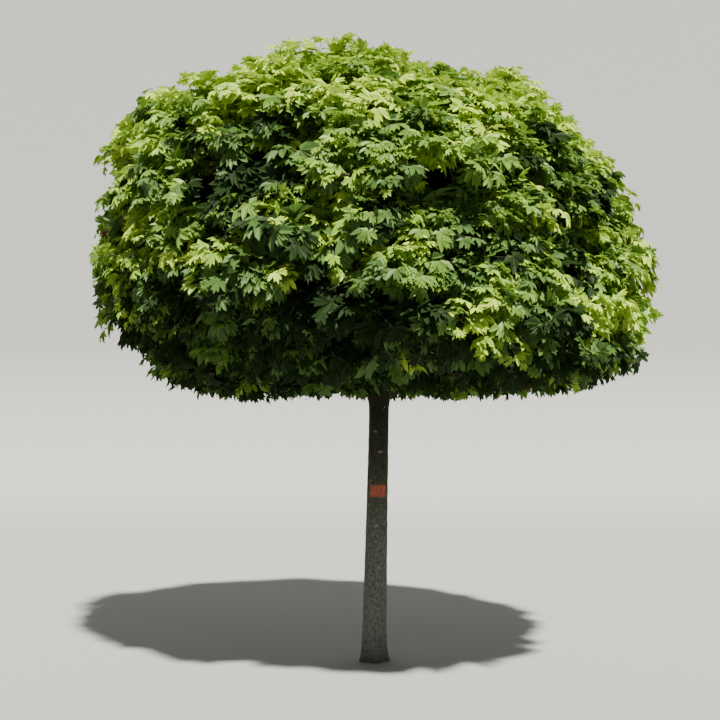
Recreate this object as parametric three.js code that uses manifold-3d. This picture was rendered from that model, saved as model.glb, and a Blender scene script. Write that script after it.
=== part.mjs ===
// A globe-headed Norway maple, grafted on top of a clear straight stem. Millimetres, +Z up.
// The origin is the middle of the flat cut under the trunk, at ground level, and the front faces -Y.
// Angles round the tree (turns) are counted from +X towards +Y, so the front is at 270 degrees.

import * as THREE from 'three';
import { mergeVertices } from 'three/addons/utils/BufferGeometryUtils.js';
import Module from 'manifold-3d';

const wasm = await Module();
wasm.setup();

// Whole tree
const TREE_HEIGHT = 4290;
const CROWN_SPREAD = 3990;
const CROWN_BASE = 1805; // the lowest leaf tips
const CROWN_WAIST = 2730; // the widest level
const CROWN_ROUNDNESS = { across: 2.3, above: 2.7, below: 4 }; // exponents, where 2 is an ellipse
const CROWN_SHIFT = -30; // sideways at the waist, along X
const CROWN_LEAN = -0.13; // sideways per unit of height, along X
// Where the outline swells or sinks, seen from the crown's middle: [turn, rise, amount]
const SWELLS = [
  [0, -38, 0.03],
  [0, 5, 0.03],
  [0, 38, -0.01],
  [0, 62, -0.03],
  [180, 62, -0.02],
  [180, 28, -0.01],
  [195, -45, 0.03],
  [270, 82, 0.02],
  [300, -25, 0.04],
];
const SWELL_SHARPNESS = 10;
// Dark hollows in the front: one high on the left, and one low under the middle tier
const HOLLOWS = [
  { centre: [-800, -1600, 3090], size: [380, 400, 120] },
  { centre: [-400, -1950, 2110], size: [760, 460, 240] },
];
const CLEARANCE = 0.3; // between pieces that meet face to face

// Trunk: its centre and radius at each height, from the ground to the rounded head over the graft
const TRUNK_CENTRES = [
  [0, 0, 0],
  [10, 4, 450],
  [22, -3, 950],
  [33, 2, 1450],
  [42, 0, 1950],
  [43, 0, 2060],
];
const TRUNK_RADII = [
  [0, 106],
  [40, 97],
  [110, 90],
  [250, 85],
  [900, 77],
  [1700, 70],
  [1800, 71],
  [1880, 84],
  [1960, 88],
  [2020, 78],
  [2060, 50],
];
const TRUNK_SIDES = 15;
const ROOT_FLARE = { ridges: 5, depth: 0.1, height: 130, turn: 0.6 };
const HEAD_HEIGHT = 1965; // where the boughs leave the trunk

// Limbs
const LEADER = { root: 34, tip: 13, sides: 6, steps: 4 };
const BOUGH = { root: 31, tip: 12, sides: 6, steps: 5 };
const SIDE_LIMB = { root: 18, tip: 9, sides: 5, steps: 4 };
const STEM_TAPER = 0.5;
const LIMB_SPREAD = 0.3; // how far a limb's end leans outward
const LIMB_BEND = 0.36; // a curve's handles, as a share of its length
const LIMB_TAPER = 0.8; // below 1 a limb thins fastest near its root
const BOUGH_SPRING = 55; // how steeply a bough leaves the head, in degrees
const BOUGH_OFFSET = 42; // how far from the head's middle it starts
const FORK_PULL = 1.5; // how strongly a side limb heads for its mass, against 1 along its bough

// Foliage: one top mass, and rings of masses round the crown. stem runs from the limb's tip to the mass's
// heart, arch lifts the limb's end, dome is the mass's reach from its heart, and sites are the places for
// sprays all round it, of which the open ones are used.
const TOP = {
  name: 'top',
  radius: 60,
  height: 3680,
  turn: 200,
  limb: 'leader',
  stem: 300,
  arch: 0.4,
  dome: { out: 760, side: 760, up: 640, down: 560 },
  sites: 16,
};
const RINGS = [
  {
    name: 'middle',
    count: 8,
    radius: 1400,
    height: 2870,
    turn: 10,
    limb: 'head',
    stem: 320,
    arch: 0.1,
    dome: { out: 720, side: 820, up: 640, down: 620 },
    sites: 16,
  },
  {
    name: 'lower',
    count: 8,
    radius: 1200,
    height: 2240,
    turn: -12.5,
    limb: 'fork',
    fork: 0.26,
    stem: 420,
    arch: -0.2,
    dome: { out: 900, side: 800, up: 640, down: 520 },
    sites: 20,
  },
  {
    name: 'upper',
    count: 6,
    radius: 1040,
    height: 3430,
    turn: 40,
    limb: 'fork',
    fork: 0.46,
    stem: 320,
    arch: 0.35,
    dome: { out: 840, side: 860, up: 720, down: 600 },
    sites: 18,
  },
];
const RING_JITTER = { turn: 6, radius: 50, height: 60 };
const DOME_SQUARENESS = 2.2;
const LONGEST_REACH = 1200;
const REACH_STEPS = 12; // halvings of the longest reach, to find where a way leaves a space
const SPACE_MARGIN = 6; // kept free on each side of the border between two masses
const CORE_SHARE = 0.89; // the dense inside of a mass, as a share of its reach
const CORE_BORDER_SHARE = 0.95; // and as a share of the way to a border
const CORE_LUMP = 0.12; // how much a part of its surface may sink, as a share
const CORE_BEHIND_TIP = 40; // the core starts this far beyond its limb's tip

// Sprays: a twig out of the core, with a leaf on from its end and one to each side
const OPEN_LEVEL = 0.55; // a site is open where the core comes up to this level of the crown
const OPEN_ROOM = 30; // and leaves this much room in front of it
const SPRAY_TRIES = 400; // shaken places and poses at each site, of which the best is used
const OUTLINE_DRAW = 4; // how strongly leaves that reach the crown's outline are preferred
const SITE_SHAKE = 0.22;
const HANG_OUTWARD = 0.6; // a spray hangs outward by this for each 1 down
const HANG_WOBBLE = 0.7;
const TWIG = { root: 9, tip: 8, sides: 3, beyond: 10 }; // it ends this far beyond the leaves' joint
const TWIG_FOOT = 0.8; // where a twig starts, as a share of the core's reach
const TWIG_STAND = [20, 90]; // out from the core to the leaves' joint
// Its leaves: their turns from the way that it hangs, and their stalks as shares of the leaf's span
const SPRAY_LEAVES = [
  { turn: 0, stalk: 0.75 },
  { turn: -100, stalk: 0.3 },
  { turn: 100, stalk: 0.3 },
];

// Leaves, larger than life. An outline point is [degrees from the tip, share of the span].
const LEAF_SPAN = [160, 300]; // from where the stalk joins to the tip of the middle lobe
const LEAF_HALF = [[26, 0.5], [52, 0.87], [80, 0.42], [108, 0.56], [154, 0.1]];
const LEAF_THICKNESS = 12;
const LEAF_DROOP = 0.24; // of the lobes, as a share of the span
const LEAF_LIFT = [-0.35, 0.45]; // of the tip, off the mass

const BARK = new THREE.MeshStandardMaterial({ color: 0x4b463a, roughness: 0.9, metalness: 0 });
const FOLIAGE = { top: 0x6f9a2a, upper: 0x5f8f26, middle: 0x4d8020, lower: 0x386617 };

const UP = new THREE.Vector3(0, 0, 1);
const EAST = new THREE.Vector3(1, 0, 0);
const NORTH = new THREE.Vector3(0, 1, 0);
const GOLDEN_ANGLE = Math.PI * (3 - Math.sqrt(5));
const radians = THREE.MathUtils.degToRad;

// Seeded random numbers from 0 to 1
function seeded(seed) {
  let state = seed >>> 0;
  return () => {
    state = (state + 0x6d2b79f5) >>> 0;
    let mixed = Math.imul(state ^ (state >>> 15), state | 1);
    mixed ^= mixed + Math.imul(mixed ^ (mixed >>> 7), mixed | 61);
    return ((mixed ^ (mixed >>> 14)) >>> 0) / 4294967296;
  };
}

const spreadAbout = (random, reach) => (random() * 2 - 1) * reach;

// A value read off a list of [place, value] pairs, in straight steps
function readOff(pairs, place) {
  const next = pairs.findIndex(([at]) => at >= place);
  if (next === 0) return pairs[0][1];
  const [a, low] = pairs[next - 1];
  const [b, high] = pairs[next];
  return THREE.MathUtils.lerp(low, high, (place - a) / (b - a));
}

function wayOf(turn, rise) {
  const flat = Math.cos(radians(rise));
  const height = Math.sin(radians(rise));
  return new THREE.Vector3(flat * Math.cos(radians(turn)), flat * Math.sin(radians(turn)), height);
}

// Solids

function solidOf(geometry) {
  const bare = geometry.clone();
  for (const name of ['normal', 'uv']) bare.deleteAttribute(name);
  const merged = mergeVertices(bare, 1e-3);
  return new wasm.Manifold(
    new wasm.Mesh({
      numProp: 3,
      vertProperties: new Float32Array(merged.attributes.position.array),
      triVerts: new Uint32Array(merged.index.array),
    }),
  );
}

// The largest body of a solid, with sealed hollows filled and loose scraps dropped
function mainBody(solid) {
  const bodies = solid.decompose();
  return bodies.reduce((best, body) => (body.volume() > best.volume() ? body : best));
}

function meshOf(name, solid, material) {
  const made = solid.getMesh();
  const geometry = new THREE.BufferGeometry();
  geometry.setAttribute('position', new THREE.BufferAttribute(new Float32Array(made.vertProperties), 3));
  geometry.setIndex(new THREE.BufferAttribute(new Uint32Array(made.triVerts), 1));
  geometry.computeVertexNormals();
  const mesh = new THREE.Mesh(geometry, material);
  mesh.name = name;
  return mesh;
}

// Moves each vertex of a cylinder of radius 1 and height 1 to place(share of its height, across, along)
function reshaped(cylinder, place) {
  const spots = cylinder.attributes.position;
  const spot = new THREE.Vector3();
  for (let i = 0; i < spots.count; i++) {
    spot.fromBufferAttribute(spots, i);
    const moved = place(spot.y + 0.5, spot.x, spot.z);
    spots.setXYZ(i, moved.x, moved.y, moved.z);
  }
  return cylinder;
}

// A tapering tube along a curve, with flat ends
function limbGeometry(curve, radiusAt, sides, steps) {
  const frames = curve.computeFrenetFrames(steps, false);
  const tube = new THREE.CylinderGeometry(1, 1, 1, sides, steps);
  return reshaped(tube, (share, x, z) => {
    const ring = Math.round(share * steps);
    const radius = radiusAt(ring / steps);
    return curve
      .getPointAt(ring / steps)
      .addScaledVector(frames.binormals[ring], x * radius)
      .addScaledVector(frames.normals[ring], z * radius);
  });
}

// Trunk

function trunkCentre(height) {
  const axis = (i) => readOff(TRUNK_CENTRES.map((centre) => [centre[2], centre[i]]), height);
  return new THREE.Vector3(axis(0), axis(1), height);
}

// Level sections, so that the cut at the ground is flat. The foot spreads in soft ridges over the roots.
function trunkSolid(grow = 0) {
  const levels = [...TRUNK_RADII.map(([height]) => height), ...TRUNK_CENTRES.map((centre) => centre[2])];
  const heights = [...new Set(levels)].sort((a, b) => a - b);
  const top = heights.length - 1;
  const column = new THREE.CylinderGeometry(1, 1, 1, TRUNK_SIDES, top);
  const place = (share, x, z) => {
    const level = Math.round(share * top);
    const height = heights[level];
    const foot = Math.max(0, 1 - height / ROOT_FLARE.height);
    const ridge = Math.cos(ROOT_FLARE.ridges * Math.atan2(z, x) + ROOT_FLARE.turn);
    const radius = readOff(TRUNK_RADII, height) * (1 + ROOT_FLARE.depth * foot * ridge) + grow;
    return trunkCentre(height).add(new THREE.Vector3(z * radius, x * radius, level === top ? grow : 0));
  };
  return solidOf(reshaped(column, place));
}

// Crown: every mass's heart, and the space it keeps to

const SWELL_WAYS = SWELLS.map(([turn, rise, amount]) => ({ way: wayOf(turn, rise), amount }));

// 1 on the outline, and less inside it
function crownLevel(p) {
  const height = p.z - CROWN_WAIST;
  const isAbove = height > 0;
  const half = isAbove ? TREE_HEIGHT - CROWN_WAIST : CROWN_WAIST - CROWN_BASE;
  const place = new THREE.Vector3(p.x - CROWN_SHIFT - CROWN_LEAN * height, p.y, 0);
  place.multiplyScalar(2 / CROWN_SPREAD).setZ(height / half);
  const way = place.clone().normalize();
  const swellAt = (swell) => swell.amount * Math.max(0, way.dot(swell.way)) ** SWELL_SHARPNESS;
  place.divideScalar(1 + SWELL_WAYS.reduce((sum, swell) => sum + swellAt(swell), 0));
  const across = Math.hypot(place.x, place.y) ** CROWN_ROUNDNESS.across;
  return across + Math.abs(place.z) ** (isAbove ? CROWN_ROUNDNESS.above : CROWN_ROUNDNESS.below);
}

const insideCrown = (p) => crownLevel(p) <= 1;

function crownNormal(p) {
  const slopeAlong = (axis) => crownLevel(p.clone().add(axis)) - crownLevel(p.clone().sub(axis));
  return new THREE.Vector3(...[EAST, NORTH, UP].map(slopeAlong)).normalize();
}

function insideHollow(p) {
  const offsetsFrom = ({ centre, size }) => centre.map((c, i) => (p.getComponent(i) - c) / size[i]);
  return HOLLOWS.some((hollow) => Math.hypot(...offsetsFrom(hollow)) < 1);
}

function massesOf() {
  const random = seeded(7);
  const found = [];
  const add = (spec, name, turn, radius, height) => {
    const outward = wayOf(turn, 0);
    const heart = outward.clone().multiplyScalar(radius).setZ(height);
    heart.x += CROWN_SHIFT + CROWN_LEAN * (height - CROWN_WAIST);
    found.push({ name, spec, outward, heart, seed: found.length + 1 });
  };
  add(TOP, TOP.name, TOP.turn, TOP.radius, TOP.height);
  for (const ring of RINGS) {
    for (let i = 0; i < ring.count; i++) {
      const turn = ring.turn + (360 / ring.count) * i + spreadAbout(random, RING_JITTER.turn);
      const radius = ring.radius + spreadAbout(random, RING_JITTER.radius);
      const height = ring.height + spreadAbout(random, RING_JITTER.height);
      add(ring, `${ring.name}_${i + 1}`, turn, radius, height);
    }
  }
  return found;
}

function insideDome(mass, p) {
  const { dome } = mass.spec;
  const away = p.clone().sub(mass.heart);
  const out = Math.abs(away.dot(mass.outward)) / dome.out;
  const side = Math.abs(away.dot(UP.clone().cross(mass.outward))) / dome.side;
  const rise = Math.abs(away.z) / (away.z > 0 ? dome.up : dome.down);
  return out ** DOME_SQUARENESS + side ** DOME_SQUARENESS + rise ** DOME_SQUARENESS <= 1;
}

// A mass's borders are half way to each other mass
function bordersOf(mass, masses) {
  const borders = masses
    .filter((other) => other !== mass)
    .map((other) => {
      const across = other.heart.clone().sub(mass.heart);
      const far = across.length() / 2 - SPACE_MARGIN;
      across.normalize();
      return new THREE.Plane(across, -across.dot(mass.heart) - far);
    });
  return (p) => borders.every((border) => border.distanceToPoint(p) < 0);
}

// How far a straight way from a mass's heart runs before it leaves the space
function reachOf(inside, heart, way) {
  let near = 0;
  let far = LONGEST_REACH;
  for (let i = 0; i < REACH_STEPS; i++) {
    const middle = (near + far) / 2;
    if (inside(heart.clone().addScaledVector(way, middle))) near = middle;
    else far = middle;
  }
  return near;
}

// Limbs

const taper = (size) => (share) => THREE.MathUtils.lerp(size.root, size.tip, share ** LIMB_TAPER);

function limbFor(mass, size, start, leaving) {
  const arriving = mass.heart.clone().sub(start).normalize();
  arriving.addScaledVector(mass.outward, LIMB_SPREAD).addScaledVector(UP, mass.spec.arch).normalize();
  const end = mass.heart.clone().addScaledVector(arriving, -mass.spec.stem);
  const bend = start.distanceTo(end) * LIMB_BEND;
  const curve = new THREE.CubicBezierCurve3(
    start,
    start.clone().addScaledVector(leaving, bend),
    end.clone().addScaledVector(arriving, -bend),
    end,
  );
  return { mass, size, curve, end, arriving };
}

function growLimbs(masses) {
  const head = trunkCentre(HEAD_HEIGHT);
  const growing = (way) => masses.filter((mass) => mass.spec.limb === way);
  const leaders = growing('leader').map((mass) => limbFor(mass, LEADER, head, UP));
  const rise = radians(BOUGH_SPRING);
  const boughs = growing('head').map((mass) => {
    const start = head.clone().addScaledVector(mass.outward, BOUGH_OFFSET);
    const leaving = mass.outward.clone().multiplyScalar(Math.cos(rise)).setZ(Math.sin(rise));
    return limbFor(mass, BOUGH, start, leaving);
  });
  const sideLimbs = growing('fork').map((mass) => {
    const nearness = (limb) => limb.mass.outward.dot(mass.outward);
    const bough = boughs.reduce((best, limb) => (nearness(limb) > nearness(best) ? limb : best));
    const start = bough.curve.getPointAt(mass.spec.fork);
    const leaving = mass.heart.clone().sub(start).normalize().multiplyScalar(FORK_PULL);
    leaving.add(bough.curve.getTangentAt(mass.spec.fork)).normalize();
    return limbFor(mass, SIDE_LIMB, start, leaving);
  });
  return [...leaders, ...boughs, ...sideLimbs];
}

const limbSolid = ({ curve, size }, grow = 0) =>
  solidOf(limbGeometry(curve, (share) => taper(size)(share) + grow, size.sides, size.steps));

// Foliage

// A drooping five-lobed blade, thickest where its stalk joins, with the stalk running back to its foot.
// facing is the blade's upper side and tip its long axis.
function leafGeometry({ centre, facing, tip, span, foot }) {
  const side = facing.clone().cross(tip);
  const right = LEAF_HALF.map(([angle, share]) => [-angle, share]).reverse();
  const points = [...right, [0, 1], ...LEAF_HALF].map(([angle, share]) =>
    centre
      .clone()
      .addScaledVector(tip, Math.cos(radians(angle)) * share * span)
      .addScaledVector(side, Math.sin(radians(angle)) * share * span)
      .addScaledVector(facing, -LEAF_DROOP * share * share * span),
  );
  points.push(foot);
  const top = centre.clone().addScaledVector(facing, LEAF_THICKNESS / 2);
  const bottom = centre.clone().addScaledVector(facing, -LEAF_THICKNESS / 2);
  const faces = [];
  points.forEach((_, i) => {
    const next = (i + 1) % points.length;
    faces.push(i, next, points.length, next, i, points.length + 1);
  });
  const geometry = new THREE.BufferGeometry().setFromPoints([...points, top, bottom]);
  geometry.setIndex(faces);
  return geometry;
}

// How far the dense core reaches along a way from the heart
const coreReach = (space, way, lump = 0) =>
  Math.min(
    reachOf(space.inOutline, space.heart, way) * (CORE_SHARE - lump),
    reachOf(space.inBorders, space.heart, way) * CORE_BORDER_SHARE,
  );

function coreSolid(space, random) {
  const ball = new THREE.IcosahedronGeometry(1, 1);
  for (const name of ['normal', 'uv']) ball.deleteAttribute(name);
  const core = mergeVertices(ball, 1e-3);
  const spots = core.attributes.position;
  for (let i = 0; i < spots.count; i++) {
    const way = new THREE.Vector3().fromBufferAttribute(spots, i).normalize();
    const spot = space.heart.clone().addScaledVector(way, coreReach(space, way, random() * CORE_LUMP));
    spots.setXYZ(i, spot.x, spot.y, spot.z);
  }
  return solidOf(core);
}

// Ways out from a heart, spread evenly
function evenWays(count, turn) {
  return Array.from({ length: count }, (_, k) => {
    const height = 1 - (2 * (k + 0.5)) / count;
    const flat = Math.sqrt(1 - height * height);
    const around = turn + k * GOLDEN_ANGLE;
    return new THREE.Vector3(flat * Math.cos(around), flat * Math.sin(around), height);
  });
}

const pointsOf = (geometry) =>
  Array.from({ length: geometry.attributes.position.count }, (_, i) =>
    new THREE.Vector3().fromBufferAttribute(geometry.attributes.position, i),
  );

// One shaken try at a spray, which lies along the crown's outline and hangs outward and down
function sprayTry(space, site, random) {
  const between = ([low, high]) => THREE.MathUtils.lerp(low, high, random());
  const shake = (reach) => new THREE.Vector3(...[0, 0, 0].map(() => spreadAbout(random, reach)));
  const way = site.clone().add(shake(SITE_SHAKE)).normalize();
  const root = coreReach(space, way);
  const surface = space.heart.clone().addScaledVector(way, root);
  const normal = crownNormal(surface).add(way).normalize();
  const hanging = way.clone().setZ(0).normalize().multiplyScalar(HANG_OUTWARD).sub(UP);
  hanging.add(shake(HANG_WOBBLE));
  const along = hanging.addScaledVector(normal, -hanging.dot(normal)).normalize();
  const joint = surface.clone().addScaledVector(normal, between(TWIG_STAND));
  const leaves = SPRAY_LEAVES.map(({ turn, stalk }) => {
    const span = between(LEAF_SPAN);
    const ahead = along.clone().applyAxisAngle(normal, radians(turn));
    const centre = joint.clone().addScaledVector(ahead, span * stalk);
    const tip = ahead.addScaledVector(normal, between(LEAF_LIFT)).normalize();
    const facing = normal.clone().addScaledVector(tip, -normal.dot(tip)).normalize();
    const worth = span * crownLevel(centre.clone().addScaledVector(tip, span)) ** OUTLINE_DRAW;
    return { worth, blade: leafGeometry({ centre, facing, tip, span, foot: joint }) };
  });
  return { leaves, joint, foot: space.heart.clone().addScaledVector(way, root * TWIG_FOOT) };
}

// The best of many tries has the most leaf and the furthest tips. A leaf that leaves the mass's space or
// touches an obstacle is skipped.
function sprayAt(space, site, random, obstacles) {
  const fits = ({ blade }) => pointsOf(blade).every(space.leafFits);
  const clear = ({ solid }) => obstacles.every((obstacle) => obstacle.intersect(solid).volume() === 0);
  const worthOf = (leaves) => leaves.reduce((sum, leaf) => sum + leaf.worth, 0);
  let best = { leaves: [] };
  for (let i = 0; i < SPRAY_TRIES; i++) {
    const { leaves, joint, foot } = sprayTry(space, site, random);
    const fitting = leaves.filter(fits);
    if (worthOf(fitting) <= worthOf(best.leaves)) continue;
    const open = fitting.map((leaf) => ({ ...leaf, solid: solidOf(leaf.blade) })).filter(clear);
    if (worthOf(open) > worthOf(best.leaves)) best = { leaves: open, joint, foot };
  }
  return best;
}

function twigSolid({ joint, foot }) {
  const end = joint.clone().addScaledVector(joint.clone().sub(foot).normalize(), TWIG.beyond);
  return solidOf(limbGeometry(new THREE.LineCurve3(foot, end), taper(TWIG), TWIG.sides, 1));
}

function foliageSolid(limb, masses, limbs) {
  const { mass, size, end, arriving } = limb;
  const random = seeded(1000 + mass.seed);
  const beyondTip = (p) => p.clone().sub(end).dot(arriving) > CORE_BEHIND_TIP;
  const inBorders = bordersOf(mass, masses);
  const space = {
    heart: mass.heart,
    inOutline: (p) => insideDome(mass, p) && insideCrown(p) && !insideHollow(p),
    inBorders: (p) => inBorders(p) && beyondTip(p),
    leafFits: (p) => insideCrown(p) && !insideHollow(p) && inBorders(p),
  };
  const stemFoot = end.clone().addScaledVector(arriving, CLEARANCE);
  const stemRadius = (share) => size.tip * THREE.MathUtils.lerp(1, STEM_TAPER, share);
  const stem = limbGeometry(new THREE.LineCurve3(stemFoot, mass.heart), stemRadius, size.sides, 1);
  const isOpen = (way) => {
    const place = mass.heart.clone().addScaledVector(way, coreReach(space, way));
    return crownLevel(place) > OPEN_LEVEL && space.leafFits(place.addScaledVector(way, OPEN_ROOM));
  };
  const core = coreSolid(space, random);
  const sites = evenWays(mass.spec.sites, mass.seed).filter(isOpen);
  const obstacles = [core, ...limbs];
  let solid = core.add(solidOf(stem));
  for (const site of sites) {
    const spray = sprayAt(space, site, random, obstacles);
    if (!spray.leaves.length) continue;
    const leaves = spray.leaves.map((leaf) => leaf.solid);
    obstacles.push(...leaves);
    solid = [twigSolid(spray), ...leaves].reduce((sum, piece) => sum.add(piece), solid);
  }
  return mainBody(solid);
}

// Assembly

const tree = new THREE.Group();
const trunk = trunkSolid();
tree.add(meshOf('trunk', trunk, BARK));

const masses = massesOf();
const limbs = growLimbs(masses);
const wood = [trunk];
const grown = [trunkSolid(CLEARANCE)];
for (const limb of limbs) {
  const solid = mainBody(grown.reduce((rest, other) => rest.subtract(other), limbSolid(limb)));
  grown.push(limbSolid(limb, CLEARANCE));
  wood.push(solid);
  tree.add(meshOf(`bough_${limb.mass.name}`, solid, BARK));
}
for (const limb of limbs) {
  const color = FOLIAGE[limb.mass.spec.name];
  const material = new THREE.MeshStandardMaterial({ color, roughness: 0.6, metalness: 0 });
  tree.add(meshOf(`foliage_${limb.mass.name}`, foliageSolid(limb, masses, wood), material));
}

export default tree;
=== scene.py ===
# A globe-headed Norway maple in summer leaf. Metres, +Z up, the front faces -Y.
# The limbs and the masses' spaces follow the rule that the solids were grown by. Each mass is then carried on
# to twigs, shoots and leaves of about life size.
import math

import bpy
import numpy as np
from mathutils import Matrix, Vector, noise


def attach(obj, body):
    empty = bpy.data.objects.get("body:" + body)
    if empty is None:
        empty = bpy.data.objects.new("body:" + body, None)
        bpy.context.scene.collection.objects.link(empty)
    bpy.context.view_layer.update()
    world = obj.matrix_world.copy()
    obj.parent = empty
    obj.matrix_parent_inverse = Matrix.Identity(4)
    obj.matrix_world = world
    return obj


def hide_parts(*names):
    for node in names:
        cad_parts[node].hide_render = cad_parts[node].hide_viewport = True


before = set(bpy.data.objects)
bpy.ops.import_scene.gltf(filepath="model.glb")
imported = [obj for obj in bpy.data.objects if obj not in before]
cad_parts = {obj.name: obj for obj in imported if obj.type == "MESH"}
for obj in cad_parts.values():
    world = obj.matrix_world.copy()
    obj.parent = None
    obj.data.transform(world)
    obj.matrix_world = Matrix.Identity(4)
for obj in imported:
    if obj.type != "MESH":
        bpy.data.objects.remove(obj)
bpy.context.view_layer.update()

# The photograph's camera, 720 by 720 pixels
EYE = Vector((-0.098, -7.54, 1.56))
LENS = 52  # mm, on a sensor of 36 mm
HORIZON_BELOW_MIDDLE = 80  # pixels
FOCAL_PIXELS = 1040
FAR_CLIP = 200

# Whole tree
TREE_HEIGHT = 4.29
CROWN_SPREAD = 3.99
CROWN_BASE = 1.805
CROWN_WAIST = 2.73
ACROSS_POWER, ABOVE_POWER, BELOW_POWER = 2.3, 2.7, 4
CROWN_SHIFT = -0.03
CROWN_LEAN = -0.13
# Where the outline swells or sinks: turn, rise, amount
SWELLS = [
    (0, -38, 0.03),
    (0, 5, 0.03),
    (0, 38, -0.01),
    (0, 62, -0.03),
    (180, 62, -0.02),
    (180, 28, -0.01),
    (195, -45, 0.03),
    (270, 82, 0.02),
    (300, -25, 0.04),
]
SWELL_SHARPNESS = 10
# Lumps of fuller or sparser shoots that give the outline its corners, in crown levels: turn, rise, amount
LUMPS = [
    (180, 37, 0.28),
    (180, 48, 0.2),
    (180, 62, -0.08),
    (180, 80, -0.1),
    (0, 88, 0.08),
    (0, 56, 0.3),
    (24, 55, 0.2),
    (336, 55, 0.2),
    (0, 76, -0.3),
    (0, 67, -0.14),
    (0, 38, 0.12),
    (0, 8, -0.08),
    (0, -23, -0.22),
    (0, -46, 0.04),
    (180, 17, -0.1),
    (180, 2, 0.13),
    (180, -10, 0.1),
    (180, -28, -0.14),
    (195, -58, 0.18),
    (190, -75, -0.06),
    (285, -32, 0.24),
    (308, -40, 0.42),
    (330, -34, 0.16),
    (322, -56, 0.28),
    (278, 59, 0.05),
    (299, 56, -0.12),
    (227, 54, -0.16),
    (217, 47, 0.1),
    (342, 22, -0.04),
    (345, -12, -0.08),
    (345, -46, -0.1),
    (198, 27, -0.12),
    (198, -20, -0.03),
]
LUMP_SHARPNESS = 45
SPARE_LUMPS, SPARE_SEED = 36, 5  # more of them, at seeded places all round
SPARE_LUMP_REACH = 0.07
# Dark hollows in the front: centre, half sizes. The solids have the first, a little smaller, and the second.
HOLLOWS = [
    ((-0.8, -1.6, 3.09), (0.42, 0.4, 0.14)),
    ((-0.4, -1.95, 2.11), (0.76, 0.46, 0.24)),
    ((1.21, -1.5, 2.58), (0.15, 0.3, 0.1)),
    ((-0.37, -1.95, 2.42), (0.12, 0.3, 0.15)),
    ((-1.14, -1.5, 2.26), (0.38, 0.4, 0.13)),
]
SHOOT_FRAY = 0.7  # a shoot keeps out of this share of what the shyest leaf keeps out of

# Trunk: centres and radii by height
TRUNK_CENTRES = [(0, 0, 0), (0.01, 0.004, 0.45), (0.022, -0.003, 0.95), (0.033, 0.002, 1.45),
                 (0.042, 0, 1.95), (0.043, 0, 2.06)]
TRUNK_RADII = [(0, 0.106), (0.04, 0.097), (0.11, 0.09), (0.25, 0.085), (0.9, 0.077), (1.7, 0.07), (1.8, 0.071),
               (1.88, 0.084), (1.96, 0.088), (2.02, 0.078), (2.06, 0.05)]
ROOT_RIDGES, ROOT_RIDGE_DEPTH, ROOT_FLARE_HEIGHT, ROOT_TURN = 5, 0.1, 0.13, 0.6
HEAD_HEIGHT = 1.965
TRUNK_SIDES = 64
TRUNK_STEP = 0.01
TRUNK_RELIEF, BOUGH_RELIEF = 0.0022, 0.0012
BARK_SCALE = 38
BARK_STRETCH = 0.22  # along the trunk, where 1 would be as long as wide
RIDGE_SHARE, FINE_SHARE, FINER = 0.7, 0.3, 2.7
SMOOTH_FOOT, RELIEF_RISE = 0.01, 0.05  # the relief starts over the flat cut and is whole so much higher
# Scars of pruned shoots: height, turn, half width, how far it stands out
SCARS = [(1.475, 281, 0.022, 0.004), (0.95, 268, 0.02, 0.003), (1.1, 292, 0.012, 0.003),
         (1.35, 288, 0.009, 0.002), (0.655, 283, 0.01, 0.002), (1.62, 248, 0.015, 0.003),
         (0.45, 20, 0.018, 0.004), (1.3, 120, 0.02, 0.004), (0.9, 175, 0.016, 0.003), (1.7, 60, 0.014, 0.003)]
SCAR_TURN_RADIUS = 0.078  # of the trunk about the scars
SCAR_FLATNESS = 1.3  # how much wider than tall its relief is
SCAR_RIM, SCAR_RIM_SHARPNESS = 0.8, 9  # a raised ring at this share of its half width
SCAR_DENT, SCAR_DENT_SHARPNESS = 0.6, 5  # and a dent in its middle, beside the ring's height
SCAR_TALL = 0.6  # how tall a scar's pale callus is for its width
SCAR_WEAR = 0.05
# The painted mark on the front
MARK_HEIGHT, MARK_HALF_TALL, MARK_TURN, MARK_HALF_TURN = 1.197, 0.042, 272, 47
MARK_MIDDLE = 0.028  # the trunk's middle in X there
MARK_WEAR, MARK_SIDE_WEAR = 0.03, 6
# Colours of bark, dark to light by place on its fissures, and what lies over them, with the crown's shade painted
# on its upper part
BARK_TONES = [(0.32, (0.014, 0.013, 0.009)), (0.5, (0.056, 0.054, 0.038)), (0.72, (0.117, 0.115, 0.09))]
GREEN_CAST = (0.06, 0.075, 0.035)
WEATHERED, WEATHERED_SHARE, WEATHERED_FADE = (0.222, 0.238, 0.218), 0.75, 0.7  # less by so much a metre up
# Painted shade of the crown: the bark is painted darker from this height up, more by so much a metre
PAINTED_CROWN_SHADE, DARK_FROM, DARK_FADE = (0.007, 0.009, 0.001), 1.0, 1.3  # more by so much a metre over that height
DARK_MOTTLE, PALE_MOTTLE = (0.02, 0.021, 0.012), (0.19, 0.19, 0.15)
PALE_FLECK, DARK_GRAIN = (0.34, 0.35, 0.28), (0.03, 0.026, 0.02)
CALLUS, PAINT = (0.27, 0.265, 0.2), (0.34, 0.085, 0.05)
TWIG_TONES = [(0.35, (0.022, 0.018, 0.01)), (0.65, (0.04, 0.038, 0.02))]
STALK_COLOUR = (0.2, 0.19, 0.05)

# Limbs: root radius, tip radius
LEADER = (0.034, 0.013)
BOUGH = (0.031, 0.012)
SIDE_LIMB = (0.018, 0.009)
STEM_TAPER = 0.5
LIMB_SPREAD = 0.3
LIMB_BEND = 0.36
LIMB_TAPER = 0.8
BOUGH_SPRING = 55
BOUGH_OFFSET = 0.042
FORK_PULL = 1.5
COLLAR = 0.35  # how much a limb widens at its root
COLLAR_LENGTH = 0.07
LIMB_SIDES = 12
LIMB_POINTS, STEM_POINTS = 44, 8
CURVE_POINTS, CURVE_STEP = 201, 1e-3

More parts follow.
